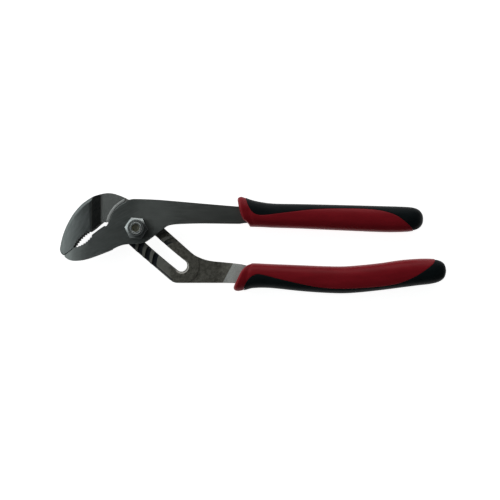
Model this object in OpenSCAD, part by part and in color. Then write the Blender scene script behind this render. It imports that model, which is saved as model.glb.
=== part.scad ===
// Tongue and groove pliers lying flat, jaws shut, pivot in the first groove.
// Millimetres. The origin is on the pivot axis, level with the surface the pliers lie on.
// +X runs from the pivot to the grips, +Y to the upper jaw's side, +Z up through the nut.
// The jaws and shanks are two forged halves. The back half carries the upper jaw, the slot
// and the lower grip. The front half carries the lower jaw, the tongue and the upper grip.

/* [Steel halves] */
// height of the plane the two halves slide on, above the surface they lie on
mid_z = 9.0; // [8.5:0.1:11]
// thickness of one half beside the pivot
half_t = 5.5; // [5:0.1:6]
// gap between the two sliding faces
face_gap = 0.1; // [0.06:0.02:0.3]
// half thickness of the jaws at the nose
nose_t = 3.4; // [2.6:0.1:4.4]
// thickness of the shanks inside the grips
tang_t = 5.6; // [4.5:0.1:6]
// height of the forged land behind the upper jaw, above the sliding plane
land_h = 1.8; // [1.4:0.1:2.4]

/* [Slot and settings] */
// number of grooves, one for each jaw setting
settings = 7; // [4:1:7]
// angle between one setting and the next, seen from the far centre of the slot's curve
setting_angle = 0.8; // [0.7:0.01:0.82]
// radius of the slot's shallow curve
slot_curve_r = 437; // [420:1:450]
// slope of the slot at its upper end, below the X axis
slot_slope = 43.4; // [42.6:0.1:44]
// width of the slot
slot_w = 8.2; // [8.1:0.02:8.3]
// free length left past the last setting
slot_spare = 0.7; // [0.4:0.1:1.6]
// drop from the machined face to the forged shank past the slot
shank_drop = 0.6; // [0.3:0.1:1]
// radius of that drop about the slot's end
shank_drop_r = 12; // [11.5:0.1:13]

/* [Tongue and grooves] */
// inner radius of the tongue about the pivot
tongue_in = 15.6; // [15.4:0.1:16.6]
// outer radius of the tongue about the pivot
tongue_out = 18.6; // [18:0.1:18.8]
// height of the tongue
tongue_h = 1.4; // [1:0.1:1.8]
// clearance between tongue and groove walls
tongue_clear = 0.1; // [0.06:0.01:0.2]
// angle where the tongue starts, from the X axis
tongue_from = 147; // [143:1:152]
// angle where the tongue ends
tongue_to = 188; // [182:1:189]

/* [Jaws] */
// radius of the front half's round edge beside the upper jaw
hub_r = 18.9; // [18.8:0.05:19.1]
// radius of the machined shoulder the hub turns inside
recess_r = 19.75; // [19.7:0.05:20]
// outer radius of the machined bevel round that shoulder
bevel_r = 21.3; // [21:0.1:22]
// radius where the lower jaw's full thickness begins
jaw_root_r = 22.3; // [22.2:0.1:23]
// radius of the round end of the mouth
mouth_end_r = 1.5; // [1.3:0.05:1.7]
// depth of the pipe teeth
tooth_d = 0.9; // [0.5:0.05:1.1]
// number of pipe teeth on the upper jaw; the lower jaw has one less
teeth_n = 8; // [5:1:10]

/* [Pivot bolt and nut] */
// bolt shank diameter
bolt_d = 8; // [7.7:0.02:8]
// running clearance of the bolt in the front half, on the radius
bolt_fit = 0.05; // [0.02:0.01:0.08]
// bolt head diameter
head_d = 15.6; // [13:0.1:17]
// hole in the bolt's spread end
bolt_hole_d = 5.2; // [4:0.1:5.6]
// nut width across flats
nut_af = 13; // [12:0.1:14]
// nut height
nut_h = 6.5; // [4.5:0.1:7]

/* [Grips] */
// half thickness of the grips along most of their length
grip_t = 8.2; // [7.6:0.1:8.6]
// half thickness at the finger guards
guard_t = 8.8; // [8:0.1:8.8]
// clearance between shank and grip
grip_clear = 0.06; // [0.03:0.01:0.2]

/* [Hidden] */
$fn = 96;
eps = 0.02;
travel = (settings - 1) * setting_angle;
bolt_r = bolt_d / 2;
// far centre of the slot's curve
slot_c = slot_curve_r * [sin(slot_slope), cos(slot_slope)];
// angle past the last setting that gives the spare length
spare_angle = slot_spare / slot_curve_r * 180 / PI;
// place of the pivot after turning by angle a about the far centre
function spot(a) = slot_c + slot_curve_r * [-sin(slot_slope - a), -cos(slot_slope - a)];
slot_end = spot(travel + spare_angle);
mouth_end = [-20.9, 2.9];

// smooth curve through the points of p, n steps between neighbours
function blend(a, b, c, d, t) =
    0.5 * (2 * b + (c - a) * t + (2 * a - 5 * b + 4 * c - d) * t * t
           + (3 * b - a - 3 * c + d) * t * t * t);
function curve(p, n = 4) = [
    for (i = [0 : len(p) - 2]) for (k = [0 : n - 1])
        blend(p[max(i - 1, 0)], p[i], p[i + 1], p[min(i + 2, len(p) - 1)], k / n),
    p[len(p) - 1]
];
// toothed hollow from a to b, sunk by sag toward the left of the way from a to b
function hollow(a, b, sag, t) =
    let (d = b - a, m = [-d[1], d[0]] / norm(d)) a + d * t + m * 4 * sag * t * (1 - t);
function toothed(a, b, sag, n, depth) =
    let (d = b - a, m = [-d[1], d[0]] / norm(d)) [
        for (i = [0 : n - 1]) each [
            hollow(a, b, sag, i / n),
            hollow(a, b, sag, (i + 0.62) / n) + m * depth
        ],
        b
    ];
function flip(p) = [for (i = [len(p) - 1 : -1 : 0]) p[i]];
function shift_y(p, w) = [for (q = p) [q[0], q[1] + w * q[2]]];

// ---- plan outlines ----

// shanks inside the grips: x, y of the middle, half width
upper_tang = [[70, 9.1, 5.5], [80, 9.0, 5.1], [107, 8.0, 4.8], [140, 6.7, 4.5], [174, 6.1, 3.9]];
lower_tang = [[71, -30.2, 5.9], [80, -31.5, 5.2], [107, -32.8, 5.0], [134, -33.8, 4.7],
              [160, -31.9, 4.3], [186, -29.0, 3.8]];

function tang(p, c) = concat(
    curve(shift_y([for (q = p) [q[0], q[1], q[2] + c]], 1)),
    flip(curve(shift_y([for (q = p) [q[0], q[1], q[2] + c]], -1)))
);

upper_jaw_line = concat(
    curve([[-48.7, -17.65], [-49.6, -17.1], [-50.7, -15.9], [-51.35, -13.6], [-50.9, -10.6],
           [-49.6, -5.3], [-47.6, 0.0], [-44.95, 5.2], [-41.6, 10.4], [-37.0, 15.5],
           [-33.8, 18.0], [-31.3, 19.5], [-28.2, 21.1], [-24.6, 22.45], [-20.7, 23.2],
           [-16.8, 23.05], [-12.8, 21.95], [-8.9, 20.35], [-3.8, 17.6], [0.2, 14.9]])
);

module slotted_plan() {
    difference() {
        polygon(concat(
            upper_jaw_line,
            curve([[33.0, -14.4], [36.8, -17.5], [41.1, -19.6], [45.0, -20.9], [49.5, -21.7],
                   [55.0, -22.2], [62.0, -22.9], [68.0, -23.6]]),
            tang(lower_tang, 0),
            curve([[66.0, -36.1], [60.0, -36.0], [52.0, -35.95]]),
            curve([[27.0, -35.95], [24.7, -35.8], [22.6, -35.1], [20.6, -33.8]]),
            [[-4.1, -12.6], [-19.0, 2.4], [-21.0, 4.0], [-23.2, 4.3], [-25.9, 2.1],
             [-28.5, -0.2], [-31.0, -2.0]],
            toothed([-31.4, -2.3], [-41.5, -12.7], -1.1, teeth_n, -tooth_d)
        ));
        translate(mouth_end) circle(r = mouth_end_r);
    }
}

module slot_plan(w) {
    a0 = 270 - slot_slope;
    a1 = a0 + travel + spare_angle;
    far = slot_curve_r + 40;
    intersection() {
        translate(slot_c) difference() {
            circle(r = slot_curve_r + w / 2, $fn = 1440);
            circle(r = slot_curve_r - w / 2, $fn = 1440);
        }
        translate(slot_c) polygon([[0, 0], far * [cos(a0), sin(a0)], far * [cos(a1), sin(a1)]]);
    }
    circle(d = w);
    translate(slot_end) circle(d = w);
}

module front_plan() {
    difference() {
        union() {
            polygon(concat(
                [[-21.2, 1.7], [-23.9, 0.0], [-26.5, -1.95], [-29.2, -4.05]],
                toothed([-29.6, -4.4], [-40.2, -12.15], 1.2, teeth_n - 1, tooth_d),
                curve([[-48.3, -17.62], [-48.3, -18.1], [-47.5, -19.0], [-46.3, -19.9],
                       [-45.0, -20.6], [-43.3, -21.1], [-41.2, -21.35], [-38.5, -21.2],
                       [-34.3, -20.3], [-29.2, -18.6],
                       [-23.9, -16.6], [-17.4, -14.0], [-13.0, -11.9], [-9.0, -10.7],
                       [-4.0, -10.3], [1.0, -10.0], [4.0, -9.4], [6.2, -8.3]]),
                curve([[15.6, -1.4], [17.6, 0.4], [19.4, 1.6], [22.4, 2.4], [28.0, 2.9],
                       [41.0, 3.3], [54.0, 3.2], [67.0, 3.1]]),
                flip(tang(upper_tang, 0)),
                [[67.0, 14.3], [54.3, 15.3], [41.3, 16.35], [15.3, 18.55], [9.0, 18.9], [3.0, 19.12]],
                [[-2.5, 19.2], [-5.7, 18.65], [-8.2, 16.3], [-18.4, 3.6]]
            ));
            intersection() {
                circle(r = hub_r, $fn = 144);
                polygon([[-21, 3.1], [-21, 12], [-16, 20], [-5, 20], [4, 12], [-4, -4], [-14, -4]]);
            }
        }
        translate(mouth_end) circle(r = mouth_end_r);
    }
}

// ---- side profiles, x and z from the sliding plane ----

f = face_gap / 2;
// easing of a nose from its tip to full thickness, as points [x, half thickness]
slotted_nose = curve([[-52, nose_t - 0.6], [-49.5, nose_t + 0.1], [-46, nose_t + 0.85],
                      [-41, nose_t + 1.6], [-36, half_t - 0.1], [-32, half_t]]);
front_nose = curve([[-48, nose_t - 0.3], [-45.5, nose_t + 0.4], [-42, nose_t + 1.2],
                    [-37, nose_t + 1.8], [-32, half_t]]);
function below(p) = flip([for (q = p) [q[0], -q[1]]]);
slotted_side = concat(slotted_nose, [
    [-29.6, half_t], [-24.2, land_h], [-8.6, land_h],
    [-8.6, -f], [46, -f], [46, -shank_drop], [55.5, -shank_drop], [71, tang_t / 2],
    [200, tang_t / 2], [200, -tang_t / 2], [59, -tang_t / 2], [44, -half_t]
], below(slotted_nose));
front_side = concat(front_nose, [
    [24, half_t], [60, tang_t / 2], [200, tang_t / 2], [200, -tang_t / 2], [60, -tang_t / 2],
    [26, f], [-4, f], [-4, -half_t]
], below(front_nose));

module side(points) {
    translate([0, 60, 0]) rotate([90, 0, 0]) linear_extrude(height = 120) polygon(points);
}

// ring sector of radii r0 to r1 from angle a0 to a1, less than half a turn
module arc_plan(r0, r1, a0, a1) {
    m = (a0 + a1) / 2;
    far = r1 * 2.5;
    intersection() {
        difference() {
            circle(r = r1, $fn = 144);
            circle(r = r0, $fn = 144);
        }
        polygon([[0, 0], far * [cos(a0), sin(a0)], far * [cos(m), sin(m)], far * [cos(a1), sin(a1)]]);
    }
}

// ---- back half: upper jaw, slotted shank, grooves ----

module slotted_half() {
    color("#565b57") translate([0, 0, mid_z]) difference() {
        intersection() {
            translate([0, 0, -half_t]) linear_extrude(height = 2 * half_t) slotted_plan();
            side(slotted_side);
        }
        translate([0, 0, -half_t - 1]) linear_extrude(height = half_t + 2) slot_plan(slot_w);
        // round recess the hub turns in, with a bevelled shoulder
        rotate_extrude($fn = 144) polygon([
            [0, -f], [recess_r, -f], [recess_r, land_h * 0.4], [bevel_r, land_h + eps],
            [bevel_r, land_h + 3], [0, land_h + 3]
        ]);
        // one groove for each setting
        for (k = [0 : settings - 1]) {
            translate([spot(k * setting_angle)[0], spot(k * setting_angle)[1], -f - tongue_h - 0.1])
                linear_extrude(height = 3)
                    arc_plan(tongue_in - tongue_clear, tongue_out + tongue_clear, 92, 200);
        }
        // drop to the forged shank, round about the slot's end
        translate([0, 0, -shank_drop]) linear_extrude(height = 2) difference() {
            translate([33, slot_end[1] - 20]) square([13.5, 27]);
            translate(slot_end) circle(r = shank_drop_r);
        }
        // eased edge at the end of the slot
        translate([slot_end[0] + 0.45, slot_end[1] - 0.4, -f - 0.9])
            cylinder(r1 = slot_w / 2 - 0.1, r2 = slot_w / 2 + 0.9, h = 0.95);
        // sloping edge under the lower rail
        translate([11.6, -25.4, 0]) rotate([0, 0, -40.6]) translate([0, 1.4, -f])
            rotate([33, 0, 0]) translate([0, -6, 0]) cube([14.2, 6, 3]);
    }
}

// ---- front half: lower jaw, hub with tongue, upper shank ----

module front_half() {
    color("#5f6562") translate([0, 0, mid_z]) difference() {
        union() {
            difference() {
                intersection() {
                    translate([0, 0, -half_t]) linear_extrude(height = 2 * half_t) front_plan();
                    side(front_side);
                }
                translate([0, 0, -half_t - 1]) cylinder(r = jaw_root_r, h = half_t + 1 + f, $fn = 144);
            }
            translate([0, 0, f - tongue_h])
                linear_extrude(height = tongue_h + 0.5)
                    arc_plan(tongue_in, tongue_out, tongue_from, tongue_to);
        }
        translate([0, 0, -1]) cylinder(r = bolt_r + bolt_fit, h = half_t + 2);
        // eased upper edge of the round hub
        translate([0, 0, half_t - 0.6]) rotate([0, 0, 113]) rotate_extrude(angle = 56, $fn = 144)
            polygon([[hub_r + 0.1, 0], [hub_r + 1.4, 0], [hub_r + 1.4, 1.5], [hub_r - 1.4, 1.5]]);
    }
}

// ---- pivot ----

module pivot_bolt() {
    top = half_t + f + nut_h + 0.7;
    color("#a8aca8") translate([0, 0, mid_z]) difference() {
        rotate_extrude() polygon([
            [0, -mid_z], [head_d / 2 - 0.7, -mid_z], [head_d / 2, -mid_z + 0.7],
            [head_d / 2, -half_t - f - 0.3], [head_d / 2 - 0.3, -half_t - f], [bolt_r, -half_t - f],
            [bolt_r, top - 0.5], [bolt_r - 0.4, top], [0, top]
        ]);
        translate([0, 0, top - 5.5]) cylinder(d = bolt_hole_d, h = 6);
        translate([0, 0, top - 0.35]) cylinder(d1 = bolt_hole_d, d2 = bolt_hole_d + 1, h = 0.5);
    }
}

module pivot_nut() {
    r = nut_af / 2 / cos(30);
    color("#8f9490") translate([0, 0, mid_z + half_t + f]) difference() {
        intersection() {
            rotate([0, 0, 55]) cylinder(r = r, h = nut_h, $fn = 6);
            rotate_extrude() polygon([
                [0, 0], [r - 0.4, 0], [r, 0.35], [r, nut_h - 1.7], [r - 2.4, nut_h], [0, nut_h]
            ]);
        }
        translate([0, 0, -1]) cylinder(r = bolt_r + 0.04, h = nut_h + 2);
        translate([0, 0, nut_h - 0.3]) cylinder(r1 = bolt_r, r2 = bolt_r + 0.5, h = 0.5);
    }
}

// ---- grips ----

// stations along a grip: x, top y, bottom y, half thickness
upper_rows = [
    [64.6, 18.4, 1.2, guard_t - 0.6], [66.4, 20.3, 1.2, guard_t - 0.2], [68.7, 21.1, 1.15, guard_t],
    [74.1, 19.1, 1.05, guard_t - 0.25], [80.7, 17.5, 0.9, grip_t], [90.0, 16.4, 0.45, grip_t],
    [107.1, 16.1, -0.1, grip_t], [133.5, 15.5, -1.3, grip_t], [159.9, 14.8, -2.4, grip_t],
    [173.1, 14.4, -2.4, grip_t - 0.1], [180.4, 13.9, -1.8, grip_t - 0.8],
    [184.6, 12.5, -0.3, grip_t - 2.2], [187.1, 9.8, 2.5, grip_t - 4.9],
    [187.9, 6.8, 5.6, grip_t - 7.4]
];
lower_rows = [
    [62.4, -23.6, -38.4, guard_t - 0.9], [64.2, -23.6, -40.7, guard_t - 0.3],
    [66.8, -23.5, -41.5, guard_t], [71.5, -23.2, -40.4, guard_t - 0.2],
    [76.5, -22.9, -39.3, grip_t], [87.3, -23.4, -39.3, grip_t], [107.1, -24.2, -41.3, grip_t],
    [122.0, -24.8, -42.4, grip_t], [135.0, -25.0, -42.8, grip_t], [146.7, -24.2, -42.1, grip_t],
    [159.9, -22.8, -40.7, grip_t], [173.1, -20.9, -39.0, grip_t], [184.0, -20.0, -37.6, grip_t],
    [192.5, -19.9, -36.6, grip_t - 0.4], [198.0, -20.7, -35.2, grip_t - 1.3],
    [201.4, -23.0, -32.7, grip_t - 3.0], [203.1, -27.0, -28.6, grip_t - 7.4]
];

ring_n = 32;
squareness = 2.5;
function bent(v) = sign(v) * pow(abs(v), 2 / squareness);
function ring(row) = [
    for (j = [0 : ring_n - 1]) let (a = 360 * j / ring_n)
        [row[0], (row[1] + row[2]) / 2 + bent(cos(a)) * (row[1] - row[2]) / 2, bent(sin(a)) * row[3]]
];

module swept(rows) {
    all = curve(rows, 3);
    last = len(all) - 1;
    polyhedron(
        points = [for (row = all) each ring(row)],
        faces = concat(
            [[for (j = [ring_n - 1 : -1 : 0]) j]],
            [for (i = [0 : last - 1]) for (j = [0 : ring_n - 1]) each [
                [i * ring_n + j, i * ring_n + (j + 1) % ring_n, (i + 1) * ring_n + (j + 1) % ring_n],
                [i * ring_n + j, (i + 1) * ring_n + (j + 1) % ring_n, (i + 1) * ring_n + j]
            ]],
            [[for (j = [0 : ring_n - 1]) last * ring_n + j]]
        ),
        convexity = 4
    );
}

// areas in plan left out at the slanting guards, and areas of the darker back
upper_mouth = concat([[60, 24]], curve([[64.2, 24], [65.8, 18.6], [66.7, 13.0], [69.0, 6.4], [73.0, 2.6],
                     [74.3, -3]], 3), [[60, -3]]);
lower_mouth = concat([[60, -18]], curve([[76.6, -18], [75.4, -22.6], [71.3, -24.6], [68.0, -28.1],
                     [64.6, -35.1], [63.2, -39.0], [63.4, -43]], 3), [[60, -43]]);
upper_back_plan = concat(curve([[69.6, 25], [70.8, 20.6], [72.6, 15.0], [75.2, 10.8], [78.6, 8.9],
                         [84, 8.7], [97, 10.3], [115, 12.4], [133.5, 13.0], [154, 12.4],
                         [166.3, 9.6], [173.5, 5.4], [180.8, -1.2], [184, -6]], 3), [[195, -6], [195, 25]]);
lower_back_plan = concat(curve([[69.0, -46], [69.6, -41.2], [70.3, -37.4], [73.0, -33.0], [76.4, -30.6],
                         [81.0, -30.1], [94.7, -33.6], [117, -38.4], [133.5, -39.6], [148, -39.0],
                         [160, -38.0], [171, -36.0], [181, -31.8], [189.4, -26.4], [194.6, -21.6],
                         [196.4, -16]], 3), [[210, -16], [210, -46]]);

module grip(rows, mouth, tang_rows) {
    translate([0, 0, mid_z]) difference() {
        swept(rows);
        translate([0, 0, -12]) linear_extrude(height = 24) polygon(mouth);
        translate([0, 0, -tang_t / 2 - grip_clear]) linear_extrude(height = tang_t + 2 * grip_clear)
            polygon(tang(tang_rows, grip_clear));
        // room for the shank's wider root
        translate([60, tang_rows[0][1] - tang_rows[0][2] - 1.9, -tang_t / 2 - 0.3])
            cube([tang_rows[0][0] - 59, 2 * tang_rows[0][2] + 2.6, tang_t + 0.6]);
    }
}

module back_zone(plan) {
    linear_extrude(height = 2 * mid_z + 4) polygon(plan);
}

module upper_grip() { grip(upper_rows, upper_mouth, upper_tang); }
module lower_grip() { grip(lower_rows, lower_mouth, lower_tang); }

module upper_grip_body() {
    color("#7a1218") difference() { upper_grip(); back_zone(upper_back_plan); }
}
module upper_grip_back() {
    color("#15181b") intersection() { upper_grip(); back_zone(upper_back_plan); }
}
module lower_grip_body() {
    color("#7a1218") difference() { lower_grip(); back_zone(lower_back_plan); }
}
module lower_grip_back() {
    color("#15181b") intersection() { lower_grip(); back_zone(lower_back_plan); }
}

slotted_half();
front_half();
pivot_bolt();
pivot_nut();
upper_grip_body();
upper_grip_back();
lower_grip_body();
lower_grip_back();
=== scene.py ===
import math

import bmesh
import bpy
import numpy as np
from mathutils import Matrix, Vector


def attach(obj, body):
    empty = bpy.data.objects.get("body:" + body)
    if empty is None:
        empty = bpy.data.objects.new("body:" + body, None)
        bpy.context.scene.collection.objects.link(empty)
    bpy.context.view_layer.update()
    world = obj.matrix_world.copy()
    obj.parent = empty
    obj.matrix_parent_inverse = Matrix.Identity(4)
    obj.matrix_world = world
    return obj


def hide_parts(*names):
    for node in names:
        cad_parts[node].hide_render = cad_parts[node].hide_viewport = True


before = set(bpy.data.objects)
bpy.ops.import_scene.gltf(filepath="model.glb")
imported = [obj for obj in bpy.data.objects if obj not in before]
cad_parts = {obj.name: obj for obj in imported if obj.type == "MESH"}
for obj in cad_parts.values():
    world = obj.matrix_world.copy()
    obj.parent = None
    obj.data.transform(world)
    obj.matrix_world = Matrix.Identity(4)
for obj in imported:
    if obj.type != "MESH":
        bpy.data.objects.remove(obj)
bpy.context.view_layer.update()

MM = 0.001
# height of the plane that the two steel halves slide on, in mm
SLIDE_Z = 9.0
# middle of the rounding at the slot's lower end, in mm
SLOT_END = (28.6, -24.8)
# a point on the lower rail's outer edge, in mm, and the rail's direction in degrees
RAIL_POINT = (11.6, -25.4)
RAIL_ANGLE = -40.6
# the rounded outer flank of the upper jaw: where it ends, which way it faces, facets across it
FLANK_END = -29.8
FLANK_WAY = (-0.87, 0.5)
FLANK_STEPS = 5
# in metres: vertices of a CAD mesh closer than this are one
WELD = 2e-6
# edges shorter than this many mm are closed up before the rims are rounded
SHORT_EDGE = 0.1
# how far the steel edges are rounded, in mm
FORGING_EDGE = 0.2
BOLT_EDGE = 0.12
NUT_EDGE = 0.14


# ---------------------------------------------------------------- camera and light

def add_camera():
    """Straight above the tool, with the tool's own +Y toward the top of the picture."""
    data = bpy.data.cameras.new("camera")
    data.lens = 60.0
    data.sensor_width = 36.0
    data.clip_start = 0.01
    data.clip_end = 50.0
    camera = bpy.data.objects.new("camera", data)
    camera.location = (0.0738, -0.0142, 0.559)
    bpy.context.scene.collection.objects.link(camera)
    bpy.context.scene.camera = camera


def add_light(name, place, target, size, power, colour):
    data = bpy.data.lights.new(name, "AREA")
    data.shape = "RECTANGLE"
    data.size, data.size_y = size
    data.energy = power
    data.color = colour
    light = bpy.data.objects.new(name, data)
    light.location = place
    light.rotation_mode = "QUATERNION"
    light.rotation_quaternion = (Vector(target) - Vector(place)).to_track_quat("-Z", "Y")
    bpy.context.scene.collection.objects.link(light)


def add_world():
    """A studio that is bright near the horizon, most of all at the upper left, dim overhead."""
    world = bpy.data.worlds.new("studio")
    bpy.context.scene.world = world
    world.use_nodes = True
    tree = world.node_tree
    tree.nodes.clear()
    coords = tree.nodes.new("ShaderNodeTexCoord")
    split = tree.nodes.new("ShaderNodeSeparateXYZ")
    up = tree.nodes.new("ShaderNodeMapRange")
    up.interpolation_type = "SMOOTHSTEP"
    up.inputs["From Min"].default_value = 0.10
    up.inputs["From Max"].default_value = 0.80
    up.inputs["To Min"].default_value = 1.0
    up.inputs["To Max"].default_value = 0.0
    aside = tree.nodes.new("ShaderNodeVectorMath")
    aside.operation = "DOT_PRODUCT"
    aside.inputs[1].default_value = (0.85, -0.53, 0.0)
    side = tree.nodes.new("ShaderNodeMapRange")
    side.inputs["From Min"].default_value = 1.0
    side.inputs["From Max"].default_value = -1.0
    side.inputs["To Min"].default_value = 0.06
    side.inputs["To Max"].default_value = 0.26
    glow = tree.nodes.new("ShaderNodeMath")
    glow.operation = "MULTIPLY"
    level = tree.nodes.new("ShaderNodeMath")
    level.operation = "ADD"
    level.inputs[1].default_value = 0.042
    shade = tree.nodes.new("ShaderNodeBackground")
    shade.inputs["Color"].default_value = (0.93, 0.98, 1.0, 1.0)
    out = tree.nodes.new("ShaderNodeOutputWorld")
    link = tree.links.new
    link(coords.outputs["Generated"], split.inputs[0])
    link(split.outputs["Z"], up.inputs["Value"])
    link(coords.outputs["Generated"], aside.inputs[0])
    link(aside.outputs["Value"], side.inputs["Value"])
    link(up.outputs[0], glow.inputs[0])
    link(side.outputs[0], glow.inputs[1])
    link(glow.outputs[0], level.inputs[0])
    link(level.outputs[0], shade.inputs["Strength"])
    link(shade.outputs[0], out.inputs[0])


def add_floor():
    mesh = bpy.data.meshes.new("floor")
    half = 3.0
    mesh.from_pydata([(-half, -half, 0), (half, -half, 0), (half, half, 0), (-half, half, 0)],
                     [], [(0, 1, 2, 3)])
    floor = bpy.data.objects.new("floor", mesh)
    bpy.context.scene.collection.objects.link(floor)
    material = bpy.data.materials.new("pale_floor")
    material.use_nodes = True
    shader = material.node_tree.nodes["Principled BSDF"]
    shader.inputs["Base Color"].default_value = (0.50, 0.50, 0.50, 1)
    shader.inputs["Roughness"].default_value = 0.9
    shader.inputs["Specular IOR Level"].default_value = 0.1
    # a back-lit table: a pale surface that hardly takes a shadow
    shader.inputs["Emission Color"].default_value = (1.0, 1.0, 1.0, 1)
    shader.inputs["Emission Strength"].default_value = 0.93
    mesh.materials.append(material)


# ---------------------------------------------------------------- material helpers

class Paint:
    """A material being made. Its coordinates are the object's own, in mm."""

    def __init__(self, name):
        self.material = bpy.data.materials.new(name)
        self.material.use_nodes = True
        self.tree = self.material.node_tree
        self.tree.nodes.clear()
        self.shader = self.add("ShaderNodeBsdfPrincipled")
        out = self.add("ShaderNodeOutputMaterial")
        self.tree.links.new(self.shader.outputs[0], out.inputs[0])
        coords = self.add("ShaderNodeTexCoord")
        scale = self.add("ShaderNodeVectorMath", operation="SCALE")
        self.put(scale.inputs[0], coords.outputs["Object"])
        scale.inputs["Scale"].default_value = 1 / MM
        self.mm = scale.outputs[0]
        parts = self.add("ShaderNodeSeparateXYZ")
        self.put(parts.inputs[0], self.mm)
        self.x, self.y, self.z = parts.outputs

    def add(self, kind, **settings):
        node = self.tree.nodes.new(kind)
        for key, value in settings.items():
            setattr(node, key, value)
        return node

    def put(self, socket, value):
        if isinstance(value, bpy.types.NodeSocket):
            self.tree.links.new(value, socket)
        else:
            socket.default_value = value

    def math(self, operation, a, b=0.0, c=0.0):
        node = self.add("ShaderNodeMath", operation=operation)
        for socket, value in zip(node.inputs, (a, b, c)):
            self.put(socket, value)
        return node.outputs[0]

    def rise(self, value, low, high, out_low=0.0, out_high=1.0):
        """Smooth step from out_low at low to out_high at high."""
        return self.fit(value, low, high, out_low, out_high, "SMOOTHSTEP")

    def fit(self, value, low, high, out_low=0.0, out_high=1.0, kind="LINEAR"):
        """Ramp from out_low at low to out_high at high, straight unless kind says otherwise."""
        node = self.add("ShaderNodeMapRange", interpolation_type=kind)
        for name, number in (("Value", value), ("From Min", low), ("From Max", high),
                             ("To Min", out_low), ("To Max", out_high)):
            self.put(node.inputs[name], number)
        return node.outputs[0]

    def side_of(self, point, angle, soft):
        """1 on the left of the line through point at angle degrees, 0 on its right."""
        across = (-math.sin(math.radians(angle)), math.cos(math.radians(angle)))
        offset = across[0] * point[0] + across[1] * point[1]
        part = self.math("MULTIPLY_ADD", self.y, across[1], -offset)
        reach = self.math("MULTIPLY_ADD", self.x, across[0], part)
        return self.rise(reach, -soft, soft)

    def radius(self, centre):
        dx = self.math("SUBTRACT", self.x, centre[0])
        dy = self.math("SUBTRACT", self.y, centre[1])
        square = self.math("ADD", self.math("MULTIPLY", dx, dx), self.math("MULTIPLY", dy, dy))
        return self.math("SQRT", square)

    def noise(self, scale, stretch=(1, 1, 1), detail=3.0, roughness=0.55, turn=0.0):
        """Noise of about 1 / scale mm; stretch multiplies the coordinates after a turn about Z."""
        place = self.add("ShaderNodeMapping", vector_type="POINT")
        self.put(place.inputs["Vector"], self.mm)
        place.inputs["Rotation"].default_value = (0, 0, math.radians(-turn))
        spread = self.add("ShaderNodeVectorMath", operation="MULTIPLY")
        self.put(spread.inputs[0], place.outputs[0])
        spread.inputs[1].default_value = stretch
        node = self.add("ShaderNodeTexNoise")
        self.put(node.inputs["Vector"], spread.outputs[0])
        node.inputs["Scale"].default_value = scale
        node.inputs["Detail"].default_value = detail
        node.inputs["Roughness"].default_value = roughness
        return node.outputs[0]

    def mix(self, factor, a, b):
        """Colour between a and b. Colours are linear (r, g, b)."""
        node = self.add("ShaderNodeMix", data_type="RGBA")
        self.put(node.inputs[0], factor)
        for socket, value in ((node.inputs[6], a), (node.inputs[7], b)):
            self.put(socket, value if isinstance(value, bpy.types.NodeSocket) else (*value, 1.0))
        return node.outputs[2]

    def blend(self, factor, a, b):
        """Number between a and b."""
        node = self.add("ShaderNodeMix", data_type="FLOAT")
        self.put(node.inputs[0], factor)
        self.put(node.inputs[2], a)
        self.put(node.inputs[3], b)
        return node.outputs[0]

    def facing(self, way):
        """How far the surface faces the given way, -1 to 1."""
        node = self.add("ShaderNodeVectorMath", operation="DOT_PRODUCT")
        self.put(node.inputs[0], self.add("ShaderNodeNewGeometry").outputs["True Normal"])
        node.inputs[1].default_value = way
        return node.outputs["Value"]

    def tilt(self):
        """1 on flat faces, 0 on upright walls."""
        return self.math("ABSOLUTE", self.facing((0, 0, 1)))

    def finish(self, colour, roughness, height, depth):
        """Fills in the shader, with height raised by depth mm as bumps."""
        self.put(self.shader.inputs["Base Color"], colour)
        self.put(self.shader.inputs["Roughness"], roughness)
        bump = self.add("ShaderNodeBump")
        bump.inputs["Strength"].default_value = 1.0
        bump.inputs["Distance"].default_value = depth * MM
        self.put(bump.inputs["Height"], height)
        self.put(self.shader.inputs["Normal"], bump.outputs[0])
        return self.material


def steel_finish(paint, colour, roughness, height, depth, wall_shade=1.0):
    """Fills in a steel. Steep walls get a dull dark coat, in the given amount: painted shade on
    upright faces, which on the forged halves also stands for forge scale.
    """
    # painted shade: upright walls made darker, duller and not metallic
    steep = paint.math("MULTIPLY", paint.rise(paint.tilt(), 0.35, 0.12), wall_shade)
    colour = paint.mix(steep, colour, (0.022, 0.024, 0.024))
    paint.put(paint.shader.inputs["Metallic"], paint.math("SUBTRACT", 1.0, steep))
    material = paint.finish(colour, paint.blend(steep, roughness, 0.8), height, depth)
    paint.shader.inputs["Specular IOR Level"].default_value = 0.2
    paint.shader.inputs["Specular Tint"].default_value = (0.45, 0.47, 0.48, 1.0)
    return material


# ---------------------------------------------------------------- materials

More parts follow.
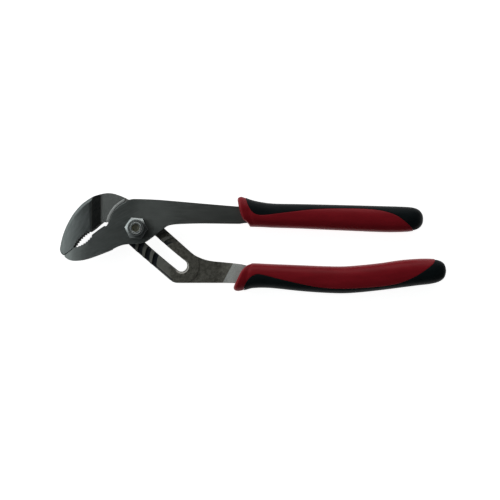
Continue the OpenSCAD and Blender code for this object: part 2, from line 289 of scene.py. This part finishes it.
def front_steel():
    """Satin dark steel of the front half, drawn out along the jaw and the shank."""
    p = Paint("front_steel")
    jaw_grain = p.noise(0.9, (0.16, 1.6, 1.0), 4, 0.6, turn=28)
    shank_grain = p.noise(0.9, (0.07, 1.9, 1.0), 4, 0.6)
    grain = p.blend(p.rise(p.x, -2, 14), jaw_grain, shank_grain)
    fine = p.noise(5.5, (1, 1, 1), 2)
    cloud = p.noise(0.09, detail=2)
    colour = p.mix(p.fit(grain, 0.32, 0.7), (0.135, 0.150, 0.142), (0.200, 0.216, 0.207))
    colour = p.mix(p.fit(cloud, 0.35, 0.65, 0, 0.45), colour, (0.13, 0.139, 0.134))
    colour = p.mix(p.fit(fine, 0.55, 0.75, 0, 0.35), colour, (0.12, 0.128, 0.124))
    # a polished patch on the shoulder, and a duller shank toward the grip
    colour = p.mix(p.rise(p.radius((12, 11)), 19, 5, 0, 0.5), colour, (0.36, 0.38, 0.36))
    colour = p.mix(p.rise(p.x, 12, 34, 0, 0.6), colour, (0.31, 0.325, 0.305))
    colour = p.mix(p.rise(p.x, 34, 66, 0, 0.6), colour, (0.13, 0.138, 0.130))
    # painted highlight: the jaw grows lighter toward its tip
    colour = p.mix(p.rise(p.x, -12, -28, 0, 0.3), colour, (0.27, 0.29, 0.285))
    rough = p.fit(grain, 0.3, 0.7, 0.36, 0.5)
    height = p.math("ADD", p.math("MULTIPLY", grain, 0.8), p.math("MULTIPLY", fine, 0.35))
    return steel_finish(p, colour, rough, height, 0.045)


def slotted_steel():
    """Steel of the slotted half: polished nose, dark ramp, forged land, rails and grooves."""
    p = Paint("slotted_steel")
    lump = p.noise(0.55, detail=4, roughness=0.6)
    grit = p.noise(2.6, detail=3, roughness=0.65)
    fine = p.noise(6.0, detail=2)
    drawn = p.noise(0.8, (0.2, 1.7, 1.0), 4, 0.6, turn=55)
    up = p.math("SUBTRACT", p.z, SLIDE_Z)

    forged = p.mix(p.fit(lump, 0.35, 0.68), (0.135, 0.132, 0.108), (0.265, 0.257, 0.222))
    forged = p.mix(p.fit(grit, 0.48, 0.68, 0, 0.8), forged, (0.09, 0.087, 0.075))
    polished = p.mix(p.fit(drawn, 0.3, 0.7), (0.145, 0.162, 0.158), (0.205, 0.222, 0.218))
    polished = p.mix(p.fit(fine, 0.55, 0.75, 0, 0.3), polished, (0.115, 0.122, 0.122))
    on_nose = p.rise(p.x, -29.4, -30.0)
    colour = p.mix(on_nose, forged, polished)
    # painted shade: the flank, which faces the key light, is darkened in its colour
    flank = p.math("MULTIPLY", on_nose, p.rise(p.facing((*FLANK_WAY, 0)), 0.1, 0.45))
    colour = p.mix(p.math("MULTIPLY", flank, 0.55), colour, (0.10, 0.115, 0.11))

    # the ramp down from the nose is painted dark: a painted dark reflection on the sloping face
    ramp = p.math("MULTIPLY", p.rise(p.x, -29.9, -29.3), p.rise(p.x, -24.0, -24.6))
    ramp = p.math("MULTIPLY", ramp, p.rise(up, 1.7, 1.95))
    ramp_dark_reflection = p.mix(p.fit(drawn, 0.3, 0.7), (0.035, 0.040, 0.038), (0.075, 0.080, 0.078))
    colour = p.mix(ramp, colour, ramp_dark_reflection)

    # pale land behind the ramp
    land = p.math("MULTIPLY", p.rise(p.x, -24.6, -24.0), p.rise(up, 1.2, 1.6))
    land_tone = p.mix(p.fit(grit, 0.35, 0.65), (0.33, 0.345, 0.33), (0.15, 0.157, 0.15))
    colour = p.mix(land, colour, land_tone)

    # machined bevel round the hub's seat
    from_pivot = p.radius((0, 0))
    seat = p.math("MULTIPLY", p.rise(from_pivot, 19.5, 19.8), p.rise(from_pivot, 21.5, 21.25))
    seat = p.math("MULTIPLY", seat, p.rise(p.y, 2.0, 3.0))
    colour = p.mix(seat, colour, (0.90, 0.92, 0.90))

    # machined lands, and painted shade on the floors of the grooves
    groove = p.math("MULTIPLY", p.rise(up, -0.2, -0.5), p.rise(up, -2.2, -1.9))
    below = p.side_of(RAIL_POINT, RAIL_ANGLE, 0.4)
    lower_rail = p.rise(p.y, -8.0, -10.0)
    on_rail = p.math("MULTIPLY", lower_rail, p.rise(p.x, 27.5, 25.5))
    groove = p.math("MULTIPLY", p.math("MULTIPLY", groove, on_rail), below)
    colour = p.mix(groove, colour, (0.06, 0.065, 0.075))
    top_face = p.math("MULTIPLY", p.rise(up, -0.25, -0.1), p.rise(up, 0.3, 0.1))
    ground = p.math("MULTIPLY", top_face, p.rise(p.x, 22.5, 19.0))
    colour = p.mix(p.math("MULTIPLY", ground, 0.6), colour, (0.33, 0.33, 0.30))

    # painted highlights on the sloping edge under the lower rail and on the easing at the slot's
    # end, where they face the light
    outside = p.side_of(RAIL_POINT, RAIL_ANGLE + 180, 0.3)
    slope = p.math("MULTIPLY", outside, p.rise(p.tilt(), 0.93, 0.88))
    slope = p.math("MULTIPLY", slope, p.rise(p.x, 4, 7))
    ease = p.math("MULTIPLY", p.rise(p.radius(SLOT_END), 6.2, 5.9), p.rise(p.tilt(), 0.97, 0.9))
    colour = p.mix(p.math("MAXIMUM", slope, ease), colour, (0.50, 0.49, 0.45))

    # ground patch in front of the grip
    patch = p.side_of((58.9, -29.9), 241.4, 0.12)
    patch_tone = p.mix(p.fit(grit, 0.35, 0.65), (0.56, 0.57, 0.54), (0.35, 0.36, 0.34))
    colour = p.mix(patch, colour, patch_tone)

    smooth = p.math("MAXIMUM", on_nose, groove)
    rough = p.blend(smooth, p.fit(lump, 0.3, 0.7, 0.46, 0.62), p.fit(drawn, 0.3, 0.7, 0.34, 0.46))
    rough = p.blend(seat, rough, 0.8)
    bumps = p.math("ADD", p.math("MULTIPLY", lump, 1.4), p.math("MULTIPLY", grit, 0.8))
    height = p.blend(smooth, bumps, p.math("MULTIPLY", drawn, 0.7))
    # the scale is ground off the flank, which gets less of the painted wall shade
    wall_shade = p.math("SUBTRACT", 1.0, p.math("MULTIPLY", flank, 0.75))
    return steel_finish(p, colour, rough, height, 0.07, wall_shade)


def edge_steel():
    """Brighter steel where the edges are rubbed clean."""
    p = Paint("edge_steel")
    wear = p.noise(1.3, detail=3)
    colour = p.mix(p.fit(wear, 0.35, 0.65), (0.09, 0.097, 0.092), (0.20, 0.21, 0.205))
    # the lips of the jaws are painted bright: rubbing wear, plus a painted highlight along the lit
    # edges
    colour = p.mix(p.rise(p.x, -36, -42, 0, 0.8), colour, (0.50, 0.53, 0.52))
    return steel_finish(p, colour, p.fit(wear, 0.3, 0.7, 0.42, 0.56), wear, 0.03)


def bolt_steel():
    """Turned and plated steel with rings left by the lathe."""
    p = Paint("bolt_steel")
    from_axis = p.radius((0, 0))
    rings = p.math("SINE", p.math("MULTIPLY", from_axis, 24.0))
    speck = p.noise(3.0, detail=3)
    colour = p.mix(p.fit(speck, 0.35, 0.7), (0.50, 0.53, 0.52), (0.36, 0.38, 0.37))
    # painted light: the inside of the end's hole is made pale so it does not sit in shade
    inside = p.math("MULTIPLY", p.rise(from_axis, 2.75, 2.6), p.rise(p.z, 20.9, 20.4))
    colour = p.mix(inside, colour, (0.75, 0.74, 0.62))
    height = p.math("ADD", p.math("MULTIPLY", rings, 0.25), speck)
    return steel_finish(p, colour, p.fit(speck, 0.3, 0.7, 0.28, 0.42), height, 0.02, 0.2)


def nut_steel():
    """Plated nut, brighter than the halves, slightly pitted."""
    p = Paint("nut_steel")
    pit = p.noise(1.8, detail=4, roughness=0.6)
    drawn = p.noise(2.2, (1, 1, 0.12), 3)
    colour = p.mix(p.fit(pit, 0.4, 0.72), (0.40, 0.43, 0.42), (0.20, 0.215, 0.215))
    # painted shade on the side of the nut away from the key light, toward the shank
    shaded_side = p.rise(p.facing((0.85, -0.5, 0)), 0.05, 0.35, 0, 0.8)
    colour = p.mix(shaded_side, colour, (0.07, 0.075, 0.075))
    height = p.math("ADD", pit, p.math("MULTIPLY", drawn, 0.6))
    return steel_finish(p, colour, p.fit(drawn, 0.3, 0.7, 0.28, 0.44), height, 0.03, 0.6)


def red_plastic():
    """Moulded red plastic with a fine eggshell grain and faint flow marks."""
    p = Paint("red_plastic")
    cell = p.noise(4.2, detail=2)
    flow = p.noise(0.22, (0.3, 1.4, 1.0), 3)
    dust = p.noise(9.0, detail=1)
    colour = p.mix(p.fit(flow, 0.3, 0.7), (0.215, 0.0070, 0.0125), (0.265, 0.0095, 0.0165))
    colour = p.mix(p.fit(dust, 0.6, 0.78, 0, 0.3), colour, (0.30, 0.025, 0.03))
    rough = p.fit(cell, 0.35, 0.65, 0.36, 0.48)
    height = p.math("ADD", cell, p.math("MULTIPLY", flow, 1.2))
    material = p.finish(colour, rough, height, 0.03)
    p.shader.inputs["Specular IOR Level"].default_value = 0.14
    return material


def black_rubber():
    """Softer black plastic, duller and with a coarser grain."""
    p = Paint("black_rubber")
    cell = p.noise(3.2, detail=3)
    flow = p.noise(0.25, (0.3, 1.4, 1.0), 3)
    colour = p.mix(p.fit(flow, 0.3, 0.7), (0.0040, 0.0065, 0.0075), (0.0080, 0.0115, 0.0125))
    rough = p.fit(cell, 0.35, 0.65, 0.44, 0.56)
    height = p.math("ADD", cell, flow)
    material = p.finish(colour, rough, height, 0.045)
    p.shader.inputs["Specular IOR Level"].default_value = 0.07
    return material


# ---------------------------------------------------------------- steel pieces

def flank_radius(place):
    """Rounding of the upper jaw's outer edge: full along the flank, small at tip and ramp."""
    x, y = place.x / MM, place.y / MM
    at_ramp = min(max((FLANK_END - x) / 5.0, 0.0), 1.0)
    at_tip = min(max((y + 18.0) / 6.0, 0.0), 1.0)
    return (0.35 + 2.6 * at_ramp * (0.45 + 0.55 * at_tip)) * MM


def ease_flank(build):
    """Lays planes against a fillet along the upper jaw's convex outer edge and cuts by them."""
    planes = []
    for edge in build.edges:
        if len(edge.link_faces) != 2 or any(v.co.x > FLANK_END * MM for v in edge.verts):
            continue
        flat, wall = sorted(edge.link_faces, key=lambda f: -abs(f.normal.z))
        if abs(flat.normal.z) < 0.85 or abs(wall.normal.z) > 0.2:
            continue
        if wall.normal.x * FLANK_WAY[0] + wall.normal.y * FLANK_WAY[1] < 0.25:
            continue
        middle = (edge.verts[0].co + edge.verts[1].co) / 2
        r = flank_radius(middle)
        centre = middle - (wall.normal + flat.normal) * r / (1 + wall.normal.dot(flat.normal))
        for k in range(1, FLANK_STEPS + 1):
            tilt = math.radians(90 * k / (FLANK_STEPS + 1))
            normal = (wall.normal * math.cos(tilt) + flat.normal * math.sin(tilt)).normalized()
            planes.append((centre + normal * r, normal))
    for point, normal in planes:
        everything = build.verts[:] + build.edges[:] + build.faces[:]
        cut = bmesh.ops.bisect_plane(build, geom=everything, dist=1e-7, plane_co=point,
                                     plane_no=normal, clear_outer=True)
        rim = [g for g in cut["geom_cut"] if isinstance(g, bmesh.types.BMEdge)]
        bmesh.ops.holes_fill(build, edges=rim, sides=0)
    bmesh.ops.remove_doubles(build, verts=build.verts, dist=WELD)


def is_rim(edge):
    """True for an outer edge between a flat face and a wall."""
    if len(edge.link_faces) != 2 or not edge.is_convex:
        return False
    flat, wall = sorted((abs(f.normal.z) for f in edge.link_faces), reverse=True)
    return flat > 0.8 and wall < 0.35


def crisp_piece(name, node, body, materials, edge_width, reshape=None):
    """The CAD node's shape with welded faces and small rounded rims, in place of the node."""
    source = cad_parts[node].data
    mesh = bpy.data.meshes.new(name)
    mesh.from_pydata([v.co[:] for v in source.vertices], [],
                     [tuple(f.vertices) for f in source.polygons])
    build = bmesh.new()
    build.from_mesh(mesh)
    bmesh.ops.remove_doubles(build, verts=build.verts, dist=WELD)
    short = [edge for edge in build.edges if edge.calc_length() < SHORT_EDGE * MM]
    bmesh.ops.collapse(build, edges=short)
    bmesh.ops.dissolve_limit(build, angle_limit=math.radians(0.25), verts=build.verts,
                             edges=build.edges)
    if reshape:
        reshape(build)
    weight = build.edges.layers.float.new("bevel_weight_edge")
    for edge in build.edges:
        edge[weight] = 1.0 if is_rim(edge) else 0.0
    for face in build.faces:
        face.smooth = True
    build.to_mesh(mesh)
    build.free()
    mesh.set_sharp_from_angle(angle=math.radians(40))
    for material in materials:
        mesh.materials.append(material)
    piece = bpy.data.objects.new(name, mesh)
    bpy.context.scene.collection.objects.link(piece)
    bevel = piece.modifiers.new("rounded_edges", "BEVEL")
    bevel.width = edge_width * MM
    bevel.segments = 2
    bevel.limit_method = "WEIGHT"
    bevel.material = len(materials) - 1
    even = piece.modifiers.new("even_normals", "WEIGHTED_NORMAL")
    even.mode = "FACE_AREA"
    even.weight = 100
    even.keep_sharp = True
    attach(piece, body)
    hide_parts(node)


# ---------------------------------------------------------------- grips

# stations along a grip, in mm: x, top y, bottom y, half thickness
UPPER_ROWS = [
    (64.0, 20.3, 1.3, 8.8), (66.4, 20.9, 1.2, 8.8), (68.7, 21.1, 1.15, 8.8),
    (74.1, 19.1, 1.05, 8.55), (80.7, 17.5, 0.9, 8.2), (90.0, 16.4, 0.45, 8.2),
    (107.1, 16.1, -0.1, 8.2), (133.5, 15.5, -1.3, 8.2), (159.9, 14.8, -2.4, 8.2),
    (173.1, 14.4, -2.4, 8.1), (180.4, 13.9, -1.8, 7.4), (184.6, 12.5, -0.3, 6.0),
    (187.1, 9.8, 2.5, 3.3), (187.9, 6.8, 5.6, 0.8),
]
LOWER_ROWS = [
    (62.2, -23.5, -40.8, 8.8), (64.2, -23.5, -41.3, 8.8), (66.8, -23.5, -41.5, 8.8),
    (71.5, -23.2, -40.4, 8.6), (76.5, -22.9, -39.3, 8.2), (87.3, -23.4, -39.3, 8.2),
    (107.1, -24.2, -41.3, 8.2), (122.0, -24.8, -42.4, 8.2), (135.0, -25.0, -42.8, 8.2),
    (146.7, -24.2, -42.1, 8.2), (159.9, -22.8, -40.7, 8.2), (173.1, -20.9, -39.0, 8.2),
    (184.0, -20.0, -37.6, 8.2), (192.5, -19.9, -36.6, 7.8), (198.0, -20.7, -35.2, 6.9),
    (201.4, -23.0, -32.7, 5.2), (203.1, -27.0, -28.6, 0.8),
]
# front edge of each grip in plan, from its top to its bottom
UPPER_MOUTH = [(64.2, 24.0), (65.6, 18.6), (66.7, 13.0), (69.0, 6.4), (73.0, 2.6), (74.3, -3.0)]
LOWER_MOUTH = [(76.6, -18.0), (75.4, -22.6), (71.3, -24.6), (68.0, -28.1), (64.6, -35.1),
               (63.0, -39.0), (62.6, -43.0)]
# line between red and black in plan, from the guard to the end
UPPER_SEAM = [(69.6, 25.0), (70.8, 20.6), (72.6, 15.0), (75.2, 10.8), (78.6, 8.9), (84.0, 8.7),
              (97.0, 10.3), (115.0, 12.4), (133.5, 13.0), (154.0, 12.4), (166.3, 9.6),
              (173.5, 5.4), (180.8, -1.2), (184.0, -6.0)]
LOWER_SEAM = [(69.0, -46.0), (69.6, -41.2), (70.3, -37.4), (73.0, -33.0), (76.4, -30.6),
              (81.0, -30.1), (94.7, -33.6), (117.0, -38.4), (133.5, -39.6), (148.0, -39.0),
              (160.0, -38.0), (171.0, -36.0), (181.0, -31.8), (189.4, -26.4), (194.6, -21.6),
              (196.4, -16.0)]
# exponent of the grips' section: 2 is an ellipse, more is squarer
SQUARENESS = 2.5
# rounding of the guard's front lip, and how far back the slant of the front fades out
LIP = 2.1
SLANT_REACH = 19.0
# rounding of each colour at the seam
SEAM_ROUND = 0.32
# points round each colour's section
AROUND = 72


def smooth_through(points, steps):
    """Catmull-Rom curve through the points, steps samples between neighbours."""
    p = np.array(points, float)
    out = []
    for i in range(len(p) - 1):
        a, b, c, d = p[max(i - 1, 0)], p[i], p[i + 1], p[min(i + 2, len(p) - 1)]
        for t in np.arange(steps) / steps:
            out.append(0.5 * (2 * b + (c - a) * t + (2 * a - 5 * b + 4 * c - d) * t * t
                              + (3 * b - a - 3 * c + d) * t ** 3))
    out.append(p[-1])
    return np.array(out)


def bent(v):
    return np.sign(v) * np.abs(v) ** (2 / SQUARENESS)


class GripShape:
    """The outer form of one grip, cut along its seam into a red and a black loft."""

    def __init__(self, rows, mouth, seam, black_side):
        dense = smooth_through(rows, 12)
        self.x_all = np.maximum.accumulate(dense[:, 0])
        self.top_all, self.bottom_all, self.thick_all = dense[:, 1], dense[:, 2], dense[:, 3]
        edge = smooth_through(mouth, 12)
        order = np.argsort(edge[:, 1])
        self.mouth_y, self.mouth_x = edge[order, 1], edge[order, 0]
        self.start = float(self.x_all[0])
        # +1 where the black is above the seam, -1 where it is below
        self.black_side = black_side
        line = smooth_through(seam, 16)
        s = np.array([self.station_of(x, y) for x, y in line])
        self.seam_s, self.seam_y = np.maximum.accumulate(s), line[:, 1]

    def slant(self, s):
        return (1 - np.clip((s - self.start) / SLANT_REACH, 0, 1)) ** 1.5

    def place(self, s, y):
        """x of the point of station s at height y."""
        return s + (np.interp(y, self.mouth_y, self.mouth_x) - self.start) * self.slant(s)

    def station_of(self, x, y):
        low, high = self.start - 30.0, 260.0
        for _ in range(40):
            middle = (low + high) / 2
            if self.place(middle, y) < x:
                low = middle
            else:
                high = middle
        return (low + high) / 2

    def sizes(self, x):
        return (np.interp(x, self.x_all, self.top_all), np.interp(x, self.x_all, self.bottom_all),
                np.interp(x, self.x_all, self.thick_all))

    def lip_inset(self, s):
        d = np.clip(LIP - (s - self.start), 0, LIP)
        return LIP - math.sqrt(max(LIP * LIP - d * d, 0.0))

    def thumb_dish(self, s):
        """Change of half thickness: a full lip, then a shallow dish behind it."""
        d = s - self.start
        return 0.1 * math.exp(-((d - 2.4) / 1.5) ** 2) - 0.45 * math.exp(-((d - 7.5) / 2.4) ** 2)

    def outline(self, s, shrink):
        """Closed outline of station s as x, y, z rows, from the top round through +z."""
        angle = np.linspace(0, 2 * math.pi, 361)
        lift, width = bent(np.cos(angle)), bent(np.sin(angle))
        inset = self.lip_inset(s)
        x = np.full_like(angle, s)
        for _ in range(24):
            top, bottom, thick = self.sizes(x)
            y = (top + bottom) / 2 + lift * ((top - bottom) / 2 - inset) * shrink
            x = 0.5 * x + 0.5 * self.place(s, y)
        z = width * (thick + self.thumb_dish(s) - inset) * shrink
        return np.stack([x, y, z], 1)

    def ring(self, s, red, shrink=1.0):
        """Points of one colour's section at station s, open at the seam's chord."""
        loop = self.outline(s, shrink)
        side = self.black_side
        # turn the loop so that it starts at the black side's pole
        if side < 0:
            loop = np.roll(loop[:-1], 180, axis=0)
            loop = np.vstack([loop, loop[:1]])
        cut = side * np.interp(s, self.seam_s, self.seam_y)
        reach = side * loop[:181, 1]
        high, low = reach[0], reach[180]
        gap = 0.02 * (high - low)
        cut = min(max(cut, low + gap), high - gap)
        if s < self.seam_s[0]:
            cut = high - gap
        first = np.interp(-cut, -reach, np.arange(181))
        span = (first, 360 - first) if red else (first, -first)
        index = np.linspace(span[0], span[1], 241) % 360
        grid = np.arange(361)
        arc = np.stack([np.interp(index, grid, loop[:, k]) for k in range(3)], 1)
        steps = np.r_[0, np.cumsum(np.linalg.norm(np.diff(arc, axis=0), axis=1))]
        total = steps[-1]
        r = min(SEAM_ROUND, total / 8)
        ends = np.array([0, 0.25, 0.8, 1.6]) * r
        at = np.r_[ends, np.linspace(2.6 * r, total - 2.6 * r, AROUND - 8), total - ends[::-1]]
        points = np.stack([np.interp(at, steps, arc[:, k]) for k in range(3)], 1)
        chord = np.linalg.norm(arc[0] - arc[-1])
        amount = r * min(1.0, chord / 3.0) * np.r_[1, 0.35, 0.08, 0, np.zeros(AROUND - 8),
                                                   0, 0.08, 0.35, 1]
        tangent = np.gradient(points, axis=0)
        normal = np.stack([-tangent[:, 2], tangent[:, 1]], 1)
        length = np.linalg.norm(normal, axis=1)
        normal /= np.maximum(length, 1e-9)[:, None]
        middle = points[:, 1:].mean(axis=0)
        if np.sum((points[AROUND // 2, 1:] - middle) * normal[AROUND // 2]) > 0:
            normal = -normal
        points[:, 1:] += normal * amount[:, None]
        return points

    def stations(self):
        near = self.start + np.r_[0, 0.06, 0.2, 0.42, 0.7, 1.05, 1.5, 2.0, 2.5, 3.0, 3.5, 4.0]
        middle = self.start + np.r_[np.arange(4.2, 9.0, 0.15), np.arange(9.0, SLANT_REACH, 0.5)]
        far = self.x_all[self.x_all > self.start + SLANT_REACH]
        return np.r_[near, middle, far]

    def loft(self, red):
        """Rings of one colour from the guard to the end."""
        rings = []
        if red:
            rings = [self.ring(self.start, True, q) for q in (0.08, 0.35, 0.62, 0.82, 0.94)]
        side = self.black_side
        for s in self.stations():
            top, bottom, _ = self.sizes(s)
            high = max(side * top, side * bottom)
            low = min(side * top, side * bottom)
            cut = side * np.interp(s, self.seam_s, self.seam_y)
            if red and cut < low + 0.35 and s > 100:
                break
            if not red and (cut > high - 0.25 or s < self.seam_s[0]):
                continue
            rings.append(self.ring(s, red))
        return rings


def loft_piece(name, rings, body, material, node):
    """A closed mesh through the rings, in place of the CAD node."""
    points = [(x * MM, y * MM, (z + SLIDE_Z) * MM) for ring in rings for x, y, z in ring]
    n = len(rings[0])
    faces = [list(range(n))[::-1], [(len(rings) - 1) * n + k for k in range(n)]]
    for i in range(len(rings) - 1):
        for k in range(n):
            a, b = i * n + k, i * n + (k + 1) % n
            faces.append((a, b, b + n, a + n))
    mesh = bpy.data.meshes.new(name)
    mesh.from_pydata(points, [], faces)
    build = bmesh.new()
    build.from_mesh(mesh)
    bmesh.ops.remove_doubles(build, verts=build.verts, dist=1e-6)
    bmesh.ops.recalc_face_normals(build, faces=build.faces)
    for face in build.faces:
        face.smooth = True
    build.to_mesh(mesh)
    build.free()
    mesh.set_sharp_from_angle(angle=math.radians(50))
    mesh.materials.append(material)
    piece = bpy.data.objects.new(name, mesh)
    bpy.context.scene.collection.objects.link(piece)
    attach(piece, body)
    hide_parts(node)


def add_grips():
    red, black = red_plastic(), black_rubber()
    upper = GripShape(UPPER_ROWS, UPPER_MOUTH, UPPER_SEAM, 1)
    lower = GripShape(LOWER_ROWS, LOWER_MOUTH, LOWER_SEAM, -1)
    for name, shape, body in (("upper_grip", upper, "front_lever"),
                              ("lower_grip", lower, "slotted_lever")):
        loft_piece(f"{name}_red", shape.loft(True), body, red, f"{name}_body")
        loft_piece(f"{name}_black", shape.loft(False), body, black, f"{name}_back")


def add_steel():
    edge = edge_steel()
    crisp_piece("slotted_forging", "slotted_half", "slotted_lever",
                [slotted_steel(), edge], FORGING_EDGE, ease_flank)
    crisp_piece("front_forging", "front_half", "front_lever",
                [front_steel(), edge], FORGING_EDGE)
    crisp_piece("pivot_bolt_turned", "pivot_bolt", "pivot",
                [bolt_steel()], BOLT_EDGE)
    crisp_piece("pivot_nut_plated", "pivot_nut", "pivot",
                [nut_steel()], NUT_EDGE)


add_camera()
add_world()
add_floor()
add_light("key", (-1.25, 0.45, 0.78), (0.03, -0.01, 0.0), (1.8, 1.8), 14.0, (0.95, 0.99, 1.0))
add_light("fill", (0.15, 0.95, 0.50), (0.11, -0.01, 0.0), (1.5, 0.7), 4.5, (1.0, 1.0, 1.0))
add_steel()
add_grips()

bpy.context.scene.view_settings.view_transform = "Standard"
